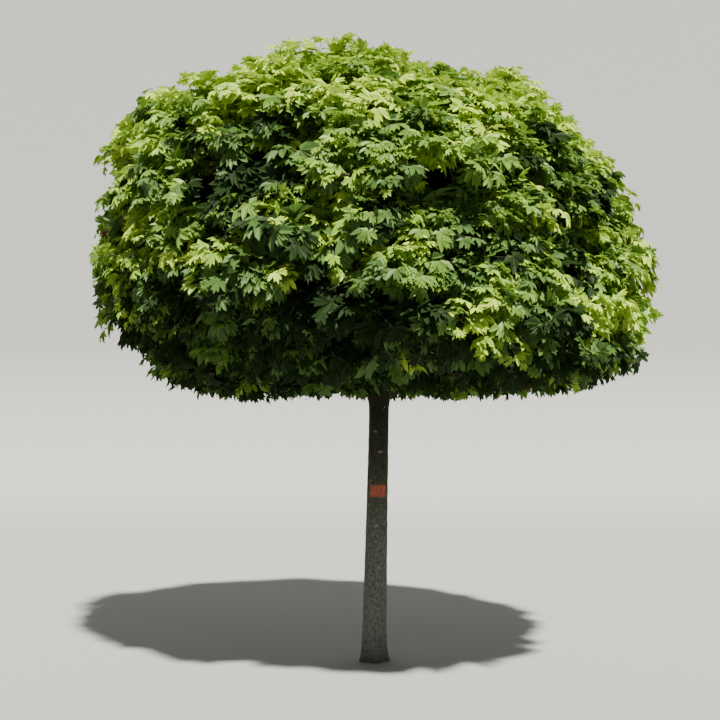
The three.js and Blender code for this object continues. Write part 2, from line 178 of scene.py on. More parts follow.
# Masses: radius, height, turn, count, where the limb starts, stem, arch
MASS_SEED = 7
TOP = dict(name="top", radius=0.06, height=3.68, turn=200, limb="leader", stem=0.3, arch=0.4)
RINGS = [
    dict(name="middle", count=8, radius=1.4, height=2.87, turn=10, limb="head", stem=0.32, arch=0.1),
    dict(name="lower", count=8, radius=1.2, height=2.24, turn=-12.5, limb="fork", fork=0.26, stem=0.42,
         arch=-0.2),
    dict(name="upper", count=6, radius=1.04, height=3.43, turn=40, limb="fork", fork=0.46, stem=0.32,
         arch=0.35),
]
TIERS = ["top", "upper", "middle", "lower"]
RING_JITTER = dict(turn=6, radius=0.05, height=0.06)
BORDER_OVERLAP = 0.12  # how far leaves of neighbouring masses may reach among each other

# Pads: flat fans of shoots, in a layer at the crown's outline and two behind it that close the crown with fewer
# and larger leaves. Pads stand apart by across and upright. A pad's foot lies by the depth within its layer's
# level. Its leaves keep within the limit, a crown level too, before the lumps, and out of the share of a hollow's
# size. bronze is the share of shoots whose end leaves are young and bronze.
LAYERS = [
    dict(level=1, across=0.27, upright=0.217, depth=(0.24, 0.46), shoots=7, length=0.33, size=1,
         limit=(0.84, 0.99), hollow=(0.7, 1.22), bronze=0.007),
    dict(level=0.74, across=0.385, upright=0.27, depth=(0.22, 0.34), shoots=5, length=0.28, size=1.4,
         limit=(0.84, 0.92), hollow=(0, 0), bronze=0),
    dict(level=0.5, across=0.6, upright=0.48, depth=(0.35, 0.45), shoots=3, length=0.3, size=2,
         limit=(0.7, 0.8), hollow=(0, 0), bronze=0),
]
PAD_TRIES = 600
PAD_SEARCH, PAD_HALVINGS = 1.6, 14  # how far from a mass's heart its pads are looked for, and how closely
JUT_SHARE, JUT = 0.14, 0.08  # some pads stick out by so much more
LEAST_LIMIT = 0.78  # beside its layer's level
LEVEL_REACH = 0.8  # how far a pad stands out for each crown level of its limit
PAD_LIFT = 0.05  # its foot lies this much higher up the crown's side than its face
PAD_HANG_OUT = 0.3  # beside 1 downward
PAD_ROLL = 60  # how far a pad may be turned out of level, in degrees
PADS_A_GROUP = 4
GROUP_ROUNDS = 6
GROUP_START = (0.35, 1)  # where along its mass's stem a group's branch starts
GROUP_REACH = 0.5
GROUP_POINTS, BRANCH_POINTS = 5, 6
SHOOT_FAN, FAN_SHAKE = 62, 8  # degrees
SHOOT_TILT = 0.62  # how far out of its pad's plane a shoot may lean
SHOOT_RISE = 0.1
SHOOT_HANG, SHOOT_SAG = 0.1, (0.5, 1.6)
SHOOT_LENGTH = (0.6, 1.25)  # beside its layer's length
EDGE_SHORTER = 0.25  # by how much of its length, at the pad's edges
SHOOT_BEND, BRANCH_BEND = 0.55, 0.5  # where along its length it bends
SHOOT_POINTS = 4
SHOOT_RADII = (0.0032, 0.0016)
BRANCH_RADII = (0.0065, 0.0034)
GROUP_RADII = (0.009, 0.006)
TWIG_SIDES = 3
BRANCH_SIDES = 5

# Leaves
NODES = 5  # pairs of leaves on a shoot
END_LEAVES = 3
LEAFY_PART, NODE_SHAKE = (0.3, 0.95), 0.04  # of a shoot
# The ways of stalks in a level pair, in a pair crosswise to it and at the shoot's end: forward, sideways, upright
LEVEL_STALK, CROSS_STALK, END_STALK = (0.55, 1, 0.1), (0.55, 0.55, 0.6), (1, 0.6, 0.1)
STALK_LIFT, STALK_SHAKE = 0.15, 0.22
STALK_LENGTH = (0.04, 0.085)
STALK_AT_FOOT, STALK_LESS = 1.3, 0.6  # beside that length at the shoot's foot, and how much less at its end
STALK_RADIUS = 0.0016
LEAF_SPAN = (0.068, 0.104)
SPAN_AT_FOOT, SPAN_LESS = 1.1, 0.2  # likewise
YOUNG_SHARE = 0.72  # the size of a shoot's end leaves, beside its others
TIP_AHEAD, TIP_OUT, TIP_DOWN = 0.7, 0.4, (0, 1)  # a blade's way: along its stalk, outward, down
# Half of a blade from the middle lobe's tip round to its stalk: degrees from the tip, share of the span, lift
BLADE_HALF = [(8, 0.77, 0.03), (18, 0.84, -0.02), (28, 0.53, 0.09), (37, 0.78, 0.02), (49, 0.95, -0.06),
              (61, 0.72, 0.03), (75, 0.47, 0.09), (101, 0.72, -0.06), (148, 0.3, 0.04)]
TIP_LIFT = -0.04
LEAF_DROOP = (0.05, 0.6)
LEAF_FOLD = (-0.15, 0.45)

# Leaf tints: plain colour, the light that comes through, roughness, shine
TINTS = {
    "fresh": ((0.36, 0.5, 0.055), (0.44, 0.62, 0.07), 0.46, 0.22),
    "bright": ((0.2, 0.33, 0.038), (0.31, 0.5, 0.05), 0.46, 0.22),
    "mid": ((0.11, 0.2, 0.032), (0.21, 0.38, 0.045), 0.47, 0.22),
    "deep": ((0.06, 0.122, 0.027), (0.13, 0.25, 0.035), 0.5, 0.2),
    "shade": ((0.014, 0.03, 0.008), (0.03, 0.066, 0.012), 0.55, 0.08),
    "bronze": ((0.065, 0.045, 0.018), (0.12, 0.08, 0.02), 0.5, 0.15),
}
TINT_NAMES = list(TINTS)
THROUGH_SHARE = 0.26  # of a leaf's light
# How a tier's shoots share the tints, layer by layer from the outside: partly the leaves' own colour and partly
# painted light and shade, with lighter tints on the top tiers where the light falls and deep and shade tints in
# the inner layers, painted shade inside the crown
TINT_SHARES = [
    {
        "top": (0.92, 0.08, 0, 0, 0, 0),
        "upper": (0.72, 0.23, 0.05, 0, 0, 0),
        "middle": (0.08, 0.27, 0.37, 0.28, 0, 0),
        "lower": (0.18, 0.32, 0.28, 0.22, 0, 0),
    },
    {
        "top": (0.2, 0.4, 0.4, 0, 0, 0),
        "upper": (0.1, 0.3, 0.4, 0.2, 0, 0),
        "middle": (0, 0.02, 0.15, 0.45, 0.38, 0),
        "lower": (0, 0, 0.12, 0.48, 0.4, 0),
    },
    dict.fromkeys(TIERS, (0, 0, 0, 0.2, 0.8, 0)),
]
# Painted light: where the crown faces the low light on its right, shoots are painted one tint fresher, which is
# lighter
SUNNY_WAY, SUNNY_FROM = (1, -0.1, -0.5), 0.82
# Painted shade: where the crown faces away from the light, as on its underside, shoots are painted with the
# darker tints of shade leaves
SHADED_WAY, SHADED_FROM = (0.5, 0, 1), -0.67
# Painted shade in the hollows as well: shoots that end within this share of a hollow's size take the same darker
# tints
SHADED_HOLLOW = 1.15  # and within this share of a hollow's size
SHADED_TINTS = [(0.02, 0.04, 0.05, 0.14, 0.75, 0), (0, 0, 0, 0.2, 0.8, 0), (0, 0, 0, 0.2, 0.8, 0)]
FRESH_ENDS = 0.5  # the share of end leaves that are one tint fresher than their shoot
LEAF_FACING = {"top": 0.7, "upper": 0.8, "middle": 0.8, "lower": 0.9}  # outward
FACING_UP, LEAF_SHAKE = 0.8, 0.46

# Light and stage
SUN_STRENGTH, SUN_SIZE, SUN_COLOUR = 16, 3, (1, 0.96, 0.88)
SUN_FROM = Vector((0.26, -0.9, 1.25))
SKY_STRENGTH, SKY_COLOUR = 0.235, (0.93, 0.96, 1)
FLOOR_COLOUR = (0.27, 0.275, 0.27)
FLOOR_HALF_WIDTH, FLOOR_FRONT, FLOOR_BACK = 40.0, -30.0, 14.0
BACKDROP_BEND, BACKDROP_HEIGHT = 4.0, 30.0

UP = np.array([0.0, 0.0, 1.0])
ASKEW = np.array([0.31, 0.17, 0.94])  # no limb or twig runs quite along it
MASK = 0xFFFFFFFF


# Helpers

def unit(vectors):
    return vectors / np.maximum(np.linalg.norm(vectors, axis=-1, keepdims=True), 1e-9)


def way_of(turn, rise):
    turn, rise = math.radians(turn), math.radians(rise)
    return np.array([math.cos(rise) * math.cos(turn), math.cos(rise) * math.sin(turn), math.sin(rise)])


class Seeded:
    """The solids' seeded random numbers, from 0 to 1."""

    def __init__(self, seed):
        self.state = seed & MASK

    def draw(self):
        self.state = (self.state + 0x6D2B79F5) & MASK
        mixed = ((self.state ^ (self.state >> 15)) * (self.state | 1)) & MASK
        mixed ^= (mixed + ((mixed ^ (mixed >> 7)) * (mixed | 61))) & MASK
        return (mixed ^ (mixed >> 14)) / 4294967296

    def about(self, reach):
        return (self.draw() * 2 - 1) * reach


def trunk_centre(height):
    x, y, levels = zip(*TRUNK_CENTRES)
    return np.array([np.interp(height, levels, x), np.interp(height, levels, y), height])


def trunk_radius(heights):
    return np.interp(heights, *zip(*TRUNK_RADII))


# Crown

SWELL_WAYS = np.array([way_of(turn, rise) for turn, rise, _ in SWELLS])
SWELL_AMOUNTS = np.array([amount for _, _, amount in SWELLS])
SPARE = np.random.default_rng(SPARE_SEED)
LUMP_WAYS = np.array([way_of(turn, rise) for turn, rise, _ in LUMPS]
                     + list(unit(SPARE.normal(size=(SPARE_LUMPS, 3)))))
LUMP_AMOUNTS = np.array([amount for _, _, amount in LUMPS]
                        + list(SPARE.uniform(-SPARE_LUMP_REACH, SPARE_LUMP_REACH, SPARE_LUMPS)))


def crown_place(points):
    """Points in the crown's own measure, where its outline is about 1 from its middle."""
    height = points[..., 2] - CROWN_WAIST
    half = np.where(height > 0, TREE_HEIGHT - CROWN_WAIST, CROWN_WAIST - CROWN_BASE)
    x = (points[..., 0] - CROWN_SHIFT - CROWN_LEAN * height) * 2 / CROWN_SPREAD
    y = points[..., 1] * 2 / CROWN_SPREAD
    return np.stack([x, y, height / half], -1)


def swelling(place, ways, amounts, sharpness):
    return np.maximum(0, unit(place) @ ways.T) ** sharpness @ amounts


def crown_level(points):
    """1 on the crown's outline, and less inside it."""
    place = crown_place(points)
    place = place / (1 + swelling(place, SWELL_WAYS, SWELL_AMOUNTS, SWELL_SHARPNESS))[..., None]
    across = np.hypot(place[..., 0], place[..., 1]) ** ACROSS_POWER
    return across + np.abs(place[..., 2]) ** np.where(place[..., 2] > 0, ABOVE_POWER, BELOW_POWER)


def crown_normal(points):
    step = 0.002
    slope = [crown_level(points + axis * step) - crown_level(points - axis * step) for axis in np.eye(3)]
    return unit(np.stack(slope, -1))


def in_hollow(points, share=1):
    """Whether points are within that share of a hollow's size."""
    found = np.zeros(points.shape[:-1], bool)
    for centre, size in HOLLOWS:
        found |= np.linalg.norm((points - centre) / size, axis=-1) < share
    return found


def masses_of():
    random = Seeded(MASS_SEED)
    found = []

    def add(spec, name, turn, radius, height):
        outward = way_of(turn, 0)
        heart = outward * radius + UP * height
        heart[0] += CROWN_SHIFT + CROWN_LEAN * (height - CROWN_WAIST)
        found.append(dict(name=name, spec=spec, outward=outward, heart=heart, seed=len(found) + 1))

    add(TOP, TOP["name"], TOP["turn"], TOP["radius"], TOP["height"])
    for ring in RINGS:
        for i in range(ring["count"]):
            turn = ring["turn"] + 360 / ring["count"] * i + random.about(RING_JITTER["turn"])
            radius = ring["radius"] + random.about(RING_JITTER["radius"])
            height = ring["height"] + random.about(RING_JITTER["height"])
            add(ring, f"{ring['name']}_{i + 1}", turn, radius, height)
    return found


def inside_borders(points, mass, masses, overlap):
    inside = np.ones(points.shape[:-1], bool)
    for other in masses:
        if other is mass:
            continue
        across = other["heart"] - mass["heart"]
        far = np.linalg.norm(across) / 2 + overlap
        inside &= (points - mass["heart"]) @ (across / np.linalg.norm(across)) < far
    return inside


# Limbs

class Curve:
    """A cubic Bezier curve, read by its length."""

    def __init__(self, *handles):
        t = np.linspace(0, 1, CURVE_POINTS)[:, None]
        a, b, c, d = handles
        self.points = a * (1 - t) ** 3 + 3 * b * t * (1 - t) ** 2 + 3 * c * t**2 * (1 - t) + d * t**3
        steps = np.linalg.norm(np.diff(self.points, axis=0), axis=1)
        self.lengths = np.concatenate([[0], np.cumsum(steps)])

    def at(self, shares):
        places = np.asarray(shares) * self.lengths[-1]
        return np.stack([np.interp(places, self.lengths, self.points[:, i]) for i in range(3)], -1)

    def tangent(self, share):
        return unit(self.at(min(1, share + CURVE_STEP)) - self.at(max(0, share - CURVE_STEP)))


def limb_for(mass, size, start, leaving):
    spec = mass["spec"]
    arriving = unit(unit(mass["heart"] - start) + mass["outward"] * LIMB_SPREAD + UP * spec["arch"])
    end = mass["heart"] - arriving * spec["stem"]
    bend = np.linalg.norm(end - start) * LIMB_BEND
    curve = Curve(start, start + leaving * bend, end - arriving * bend, end)
    return dict(mass=mass, size=size, curve=curve, end=end, arriving=arriving)


def grow_limbs(masses):
    head = trunk_centre(HEAD_HEIGHT)

    def borne_by(kind):
        return [mass for mass in masses if mass["spec"]["limb"] == kind]

    leaders = [limb_for(mass, LEADER, head, UP) for mass in borne_by("leader")]
    rise = math.radians(BOUGH_SPRING)
    boughs = []
    for mass in borne_by("head"):
        start = head + mass["outward"] * BOUGH_OFFSET
        boughs.append(limb_for(mass, BOUGH, start, mass["outward"] * math.cos(rise) + UP * math.sin(rise)))
    forks = []
    for mass in borne_by("fork"):
        bough = max(boughs, key=lambda limb: limb["mass"]["outward"] @ mass["outward"])
        share = mass["spec"]["fork"]
        start = bough["curve"].at(share)
        leaving = unit(unit(mass["heart"] - start) * FORK_PULL + bough["curve"].tangent(share))
        forks.append(limb_for(mass, SIDE_LIMB, start, leaving))
    return leaders + boughs + forks


# Meshes

def put(name, data):
    """A new object in the scene."""
    placed = bpy.data.objects.new(name, data)
    bpy.context.scene.collection.objects.link(placed)
    return placed


def make_piece(name, points, faces, slot_name, nodes, material, smooth=True):
    """A mesh piece from an array of points and an array of triangles."""
    mesh = bpy.data.meshes.new(name)
    count, sides = faces.shape
    mesh.vertices.add(len(points))
    mesh.vertices.foreach_set("co", np.ascontiguousarray(points, dtype=np.float32).ravel())
    mesh.loops.add(count * sides)
    mesh.loops.foreach_set("vertex_index", np.ascontiguousarray(faces, dtype=np.int32).ravel())
    mesh.polygons.add(count)
    mesh.polygons.foreach_set("loop_start", np.arange(0, count * sides, sides, dtype=np.int32))
    mesh.polygons.foreach_set("loop_total", np.full(count, sides, dtype=np.int32))
    mesh.polygons.foreach_set("use_smooth", np.full(count, smooth))
    mesh.update(calc_edges=True)
    mesh.validate()
    mesh.materials.append(material)
    piece = put(name, mesh)
    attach(piece, "root")
    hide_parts(*nodes)
    return piece


def turns_of(sides):
    return np.arange(sides) * 2 * math.pi / sides


def walls(index):
    """Triangles between the rings of tubes. index is (tubes, rings, sides)."""
    after = np.roll(index, -1, axis=2)
    quads = np.stack([index[:, :-1], after[:, :-1], after[:, 1:], index[:, 1:]], -1).reshape(-1, 4)
    return np.concatenate([quads[:, [0, 1, 2]], quads[:, [0, 2, 3]]])


def tubes(paths, radii, sides):
    """Closed tubes along many paths at once. paths is (tubes, points, 3) and radii is (tubes, points)."""
    count, length = paths.shape[:2]
    tangents = unit(np.gradient(paths, axis=1))
    side = unit(np.cross(tangents, ASKEW))
    other = np.cross(tangents, side)
    turns = turns_of(sides)
    ring = side[:, :, None] * np.cos(turns)[:, None] + other[:, :, None] * np.sin(turns)[:, None]
    points = paths[:, :, None] + ring * radii[:, :, None, None]
    index = np.arange(count * length * sides).reshape(count, length, sides)
    ends = [index[:, -1, [0, k, k + 1]] for k in range(1, sides - 1)]
    starts = [index[:, 0, [0, k + 1, k]] for k in range(1, sides - 1)]
    return points.reshape(-1, 3), np.concatenate([walls(index), *ends, *starts])


def repeated(points, faces):
    """Many copies of one shape's faces. points is (copies, points, 3)."""
    first = np.arange(len(points))[:, None, None] * points.shape[1]
    return points.reshape(-1, 3), (faces[None] + first).reshape(-1, 3)


def joined(parts):
    """One array of points and one of faces from several."""
    points, faces, first = [], [], 0
    for part_points, part_faces in parts:
        points.append(part_points)
        faces.append(part_faces + first)
        first += len(part_points)
    return np.concatenate(points), np.concatenate(faces)


# Materials

class Nodes:
    """Builds a material's nodes."""

    def __init__(self, name):
        self.material = bpy.data.materials.new(name)
        self.material.use_nodes = True
        self.tree = self.material.node_tree
        self.tree.nodes.clear()
        self.output = self.tree.nodes.new("ShaderNodeOutputMaterial")

    def add(self, kind, **inputs):
        node = self.tree.nodes.new(kind)
        for key, value in inputs.items():
            self.join(value, node.inputs[key.replace("_", " ")])
        return node

    def join(self, value, socket):
        if isinstance(value, bpy.types.NodeSocket):
            self.tree.links.new(value, socket)
        else:
            socket.default_value = value

    def operate(self, kind, operation, values):
        node = self.tree.nodes.new(kind)
        node.operation = operation
        for value, socket in zip(values, node.inputs):
            self.join(value, socket)
        return node

    def math(self, operation, *values, clamp=False):
        node = self.operate("ShaderNodeMath", operation, values)
        node.use_clamp = clamp
        return node.outputs[0]

    def vector(self, operation, *values):
        return self.operate("ShaderNodeVectorMath", operation, values).outputs

    def ramp(self, value, *stops):
        node = self.tree.nodes.new("ShaderNodeValToRGB")
        self.join(value, node.inputs[0])
        elements = node.color_ramp.elements
        while len(elements) < len(stops):
            elements.new(0.5)
        for element, (place, colour) in zip(elements, stops):
            element.position = place
            element.color = (*colour, 1) if isinstance(colour, tuple) else (colour, colour, colour, 1)
        return node.outputs[0]

    def mix(self, share, a, b):
        """Colour b over colour a by a share."""
        node = self.tree.nodes.new("ShaderNodeMix")
        node.data_type = "RGBA"  # its sockets are 0, 6 and 7, and 2 for the result
        for value, socket in zip((share, a, b), (node.inputs[0], node.inputs[6], node.inputs[7])):
            self.join((*value, 1) if isinstance(value, tuple) else value, socket)
        return node.outputs[2]

    def finish(self, shader):
        self.tree.links.new(shader, self.output.inputs["Surface"])
        return self.material


def leaf_material(name, colour, through, roughness, shine):
    nodes = Nodes(name)
    front = nodes.add("ShaderNodeBsdfPrincipled", Base_Color=(*colour, 1), Roughness=roughness,
                      Specular_IOR_Level=shine)
    back = nodes.add("ShaderNodeBsdfTranslucent", Color=(*through, 1))
    both = nodes.add("ShaderNodeMixShader", Fac=THROUGH_SHARE)
    nodes.join(front.outputs[0], both.inputs[1])
    nodes.join(back.outputs[0], both.inputs[2])
    return nodes.finish(both.outputs[0])


def object_place(nodes):
    return nodes.add("ShaderNodeTexCoord").outputs["Object"]


def stretched(nodes, along):
    """The object's coordinates, for marks that are 1 / along as long as wide."""
    return nodes.add("ShaderNodeMapping", Vector=object_place(nodes), Scale=(1, 1, along)).outputs[0]


def pattern(nodes, scale, detail, roughness=0.5, along=1):
    place = object_place(nodes) if along == 1 else stretched(nodes, along)
    texture = nodes.add("ShaderNodeTexNoise", Vector=place, Scale=scale, Detail=detail, Roughness=roughness)
    return texture.outputs["Fac"]


def bark_material(name, on_trunk):
    """Grey-brown bark: dark fissures, pale flecks, a green cast, low on the trunk a greyer tone, and higher up,
    on the upper trunk and the boughs, the crown's shade painted on.
    """
    nodes = Nodes(name)
    place = object_place(nodes)
    parts = nodes.add("ShaderNodeSeparateXYZ", Vector=place).outputs
    fissures = pattern(nodes, scale=95.0, detail=6.0, roughness=0.62, along=0.16)
    patches = pattern(nodes, scale=9.0, detail=3.0, along=0.5)
    mottle = pattern(nodes, scale=70.0, detail=4.0, roughness=0.7, along=0.7)
    grain = pattern(nodes, scale=420.0, detail=2.0)
    blotches = pattern(nodes, scale=60.0, detail=3.0)
    flecks = nodes.add("ShaderNodeTexVoronoi", Vector=stretched(nodes, 0.6), Scale=26.0).outputs["Distance"]
    fleck_edge = nodes.math("ADD", flecks, nodes.math("MULTIPLY", blotches, 0.5))
    low = nodes.math("SUBTRACT", 1.0, nodes.math("MULTIPLY", parts["Z"], WEATHERED_FADE), clamp=True)
    # painted shade of the crown on the bark, darker the higher up
    crown_shade = nodes.math("MULTIPLY", nodes.math("SUBTRACT", parts["Z"], DARK_FROM), DARK_FADE, clamp=True)
    coats = [
        (GREEN_CAST, nodes.ramp(patches, (0.42, 0.0), (0.68, 0.55))),
        (WEATHERED, nodes.math("MULTIPLY", low, WEATHERED_SHARE)),
        (DARK_MOTTLE, nodes.ramp(mottle, (0.4, 0.6), (0.52, 0.0))),
        (PALE_MOTTLE, nodes.ramp(mottle, (0.56, 0.0), (0.7, 0.5))),
        (PAINTED_CROWN_SHADE, crown_shade),
        (PALE_FLECK, nodes.ramp(fleck_edge, (0.3, 0.8), (0.36, 0.0))),
        (DARK_GRAIN, nodes.ramp(grain, (0.3, 0.0), (0.7, 0.35))),
    ]
    if on_trunk:
        coats += [(CALLUS, share) for share in scar_shares(nodes, place, blotches)]
        coats.append((PAINT, mark_share(nodes, parts, fissures, blotches, mottle)))
    colour = nodes.ramp(fissures, *BARK_TONES)
    for coat, share in coats:
        colour = nodes.mix(share, colour, coat)
    roughness = nodes.ramp(fissures, (0.3, 0.95), (0.7, 0.78))
    height = nodes.math("ADD", nodes.math("MULTIPLY", fissures, 0.8), nodes.math("MULTIPLY", grain, 0.2))
    bump = nodes.add("ShaderNodeBump", Height=height, Strength=0.55, Distance=0.004)
    shader = nodes.add("ShaderNodeBsdfPrincipled", Base_Color=colour, Roughness=roughness,
                       Normal=bump.outputs[0], Specular_IOR_Level=0.15)
    return nodes.finish(shader.outputs[0])


def scar_shares(nodes, place, blotches):
    """For each scar, how much of its callus shows at a place: a pale ring with a worn edge."""
    worn = nodes.math("MULTIPLY", nodes.math("SUBTRACT", blotches, 0.5), SCAR_WEAR)
    shares = []
    for height, turn, half, _ in SCARS:
        centre = trunk_centre(height) + way_of(turn, 0) * trunk_radius(height)
        away = nodes.vector("SUBTRACT", place, tuple(centre))[0]
        away = nodes.vector("MULTIPLY", away, (1, 1, 1 / SCAR_TALL))[0]
        far = nodes.math("ADD", nodes.vector("LENGTH", away)["Value"], worn)
        shares.append(nodes.ramp(nodes.math("DIVIDE", far, half), (0.3, 0.15), (0.55, 0.75), (0.8, 0.0)))
    return shares


def mark_share(nodes, parts, fissures, blotches, mottle):
    """How much of the painted mark shows at a place: a ragged patch on the trunk's front, worn like its bark."""
    turn = math.radians(MARK_TURN)
    across = nodes.math("SUBTRACT", parts["X"], MARK_MIDDLE)
    ahead = nodes.math("ADD", nodes.math("MULTIPLY", across, math.cos(turn)),
                       nodes.math("MULTIPLY", parts["Y"], math.sin(turn)))
    square = nodes.math("ADD", nodes.math("POWER", across, 2.0), nodes.math("POWER", parts["Y"], 2.0))
    facing = nodes.math("DIVIDE", ahead, nodes.math("POWER", square, 0.5))
    torn = nodes.math("SUBTRACT", nodes.math("ADD", fissures, blotches), 1.0)
    ragged = nodes.math("MULTIPLY", torn, MARK_WEAR)
    tall = nodes.math("ADD", nodes.math("ABSOLUTE", nodes.math("SUBTRACT", parts["Z"], MARK_HEIGHT)), ragged)
    in_height = nodes.math("LESS_THAN", tall, MARK_HALF_TALL)
    facing = nodes.math("SUBTRACT", facing, nodes.math("MULTIPLY", ragged, MARK_SIDE_WEAR))
    in_turn = nodes.math("GREATER_THAN", facing, math.cos(math.radians(MARK_HALF_TURN)))
    left = nodes.ramp(mottle, (0.36, 0.3), (0.5, 0.9))
    return nodes.math("MULTIPLY", nodes.math("MULTIPLY", in_height, in_turn), left)


def twig_material():
    nodes = Nodes("twig_bark")
    colour = nodes.ramp(pattern(nodes, scale=14.0, detail=3.0), *TWIG_TONES)
    shader = nodes.add("ShaderNodeBsdfPrincipled", Base_Color=colour, Roughness=0.7)
    return nodes.finish(shader.outputs[0])


def plain_material(name, colour, roughness):
    nodes = Nodes(name)
    shader = nodes.add("ShaderNodeBsdfPrincipled", Base_Color=(*colour, 1), Roughness=roughness)
    return nodes.finish(shader.outputs[0])


# Trunk and boughs

def relief(points):
    """How far bark ridges stand out at each point."""
    out = np.empty(len(points))
    for i, (x, y, z) in enumerate(points * (BARK_SCALE, BARK_SCALE, BARK_SCALE * BARK_STRETCH)):
        ridges = 1 - 2 * abs(noise.noise(Vector((x, y, z))))
        out[i] = RIDGE_SHARE * ridges + FINE_SHARE * noise.noise(Vector((x * FINER, y * FINER, z * FINER)))
    return out


def make_trunk(material):
    top = TRUNK_RADII[-1][0]
    heights = np.linspace(0, top, int(round(top / TRUNK_STEP)) + 1)
    turns = turns_of(TRUNK_SIDES)
    foot = np.maximum(0, 1 - heights / ROOT_FLARE_HEIGHT)[:, None]
    radius = trunk_radius(heights)[:, None]
    radius = radius * (1 + ROOT_RIDGE_DEPTH * foot * np.cos(ROOT_RIDGES * turns + ROOT_TURN))
    centres = np.array([trunk_centre(height) for height in heights])
    ring = np.stack([np.cos(turns), np.sin(turns), np.zeros(TRUNK_SIDES)], -1)
    skin = centres[:, None] + ring * radius[..., None]
    stand = TRUNK_RELIEF * relief(skin.reshape(-1, 3)).reshape(radius.shape)
    stand *= np.clip((heights - SMOOTH_FOOT) / RELIEF_RISE, 0, 1)[:, None]
    for height, turn, half, out in SCARS:
        across = (np.angle(np.exp(1j * (turns - math.radians(turn)))) * SCAR_TURN_RADIUS)[None, :]
        away = np.hypot(across, (heights[:, None] - height) * SCAR_FLATNESS) / half
        rim = out * np.exp(-((away - SCAR_RIM) ** 2) * SCAR_RIM_SHARPNESS)
        stand = stand + rim - out * SCAR_DENT * np.exp(-(away**2) * SCAR_DENT_SHARPNESS)
    skin = skin + ring * stand[..., None]
    index = np.arange(len(heights) * TRUNK_SIDES).reshape(-1, TRUNK_SIDES)
    after = np.roll(index, -1, axis=1)
    points = np.concatenate([skin.reshape(-1, 3), centres[[0, -1]]])
    under, over = len(points) - 2, len(points) - 1
    caps = [[under, after[0, k], index[0, k]] for k in range(TRUNK_SIDES)]
    caps += [[over, index[-1, k], after[-1, k]] for k in range(TRUNK_SIDES)]
    faces = np.concatenate([walls(index[None]), caps])
    return make_piece("trunk_bark", points, faces, "bark", ["trunk"], material)


def make_boughs(limbs, material):
    """Every limb with its mass's stem, as one piece."""
    parts = []
    for limb in limbs:
        root, tip = limb["size"]
        shares = np.linspace(0, 1, LIMB_POINTS)
        stem = limb["mass"]["heart"] - limb["end"]
        stem_path = limb["end"] + np.linspace(0, 1, STEM_POINTS + 1)[1:, None] * stem
        stem_radii = tip * np.linspace(1, STEM_TAPER, STEM_POINTS + 1)[1:]
        path = np.concatenate([limb["curve"].at(shares), stem_path])
        radii = np.concatenate([root + (tip - root) * shares**LIMB_TAPER, stem_radii])
        along = np.concatenate([[0], np.cumsum(np.linalg.norm(np.diff(path, axis=0), axis=1))])
        radii = radii * (1 + COLLAR * np.exp(-along / COLLAR_LENGTH))
        points, faces = tubes(path[None], radii[None], LIMB_SIDES)
        out = unit(points - np.repeat(path, LIMB_SIDES, axis=0))
        parts.append((points + out * (relief(points) * BOUGH_RELIEF)[:, None], faces))
    nodes = [f"bough_{limb['mass']['name']}" for limb in limbs]
    return make_piece("boughs_bark", *joined(parts), "bark", nodes, material)


# Twigs and leaves

def pads_of(mass, masses, layer, random):
    """Where this mass's pads meet the layer's level, evenly spread, and the crown's normal there."""
    ways = unit(random.normal(size=(PAD_TRIES, 3)))
    near, far = np.zeros(PAD_TRIES), np.full(PAD_TRIES, PAD_SEARCH)
    for _ in range(PAD_HALVINGS):
        middle = (near + far) / 2
        inside = crown_level(mass["heart"] + ways * middle[:, None]) < layer["level"]
        near, far = np.where(inside, middle, near), np.where(inside, far, middle)
    places = mass["heart"] + ways * near[:, None]
    places = places[inside_borders(places, mass, masses, 0)]
    normals = crown_normal(places)
    chosen = []
    for i, place in enumerate(places):
        away = places[chosen] - place
        flat = np.hypot(away[:, 0], away[:, 1]) / layer["across"]
        if not chosen or (np.hypot(flat, away[:, 2] / layer["upright"]) > 1).all():
            chosen.append(i)
    return places[chosen], normals[chosen]


def bezier(a, b, c, count):
    """Points along many curves of three handles at once."""
    t = np.linspace(0, 1, count)[None, :, None]
    a, b, c = a[:, None], b[:, None], c[:, None]
    return a * (1 - t) ** 2 + 2 * b * t * (1 - t) + c * t**2


def tapering(paths, radii):
    return np.broadcast_to(np.linspace(*radii, paths.shape[1]), paths.shape[:2])


def gathered(grown):
    """The twigs and leaves of several growths as one."""
    leaves = {key: np.concatenate([found[key] for _, found in grown]) for key in grown[0][1]}
    return joined([twigs for twigs, _ in grown]), leaves


def grow_mass(limb, masses):
    """The twigs of one mass and its leaves."""
    random = np.random.default_rng(limb["mass"]["seed"])
    return gathered([grow_layer(limb, masses, layer, random) for layer in LAYERS])


def grow_layer(limb, masses, layer, random):
    """The twigs of one layer of a mass and its leaves."""
    mass = limb["mass"]
    feet, paths, normals, limits = shoots_of(mass, masses, layer, random)
    leaves, bearing = leaves_on(paths, normals, limits, layer, mass, masses, random)
    paths = paths[bearing]
    feet = feet[bearing.reshape(-1, layer["shoots"]).any(1)]
    twigs = [*branches_to(limb, feet, random), tubes(paths, tapering(paths, SHOOT_RADII), TWIG_SIDES)]
    return joined(twigs), leaves


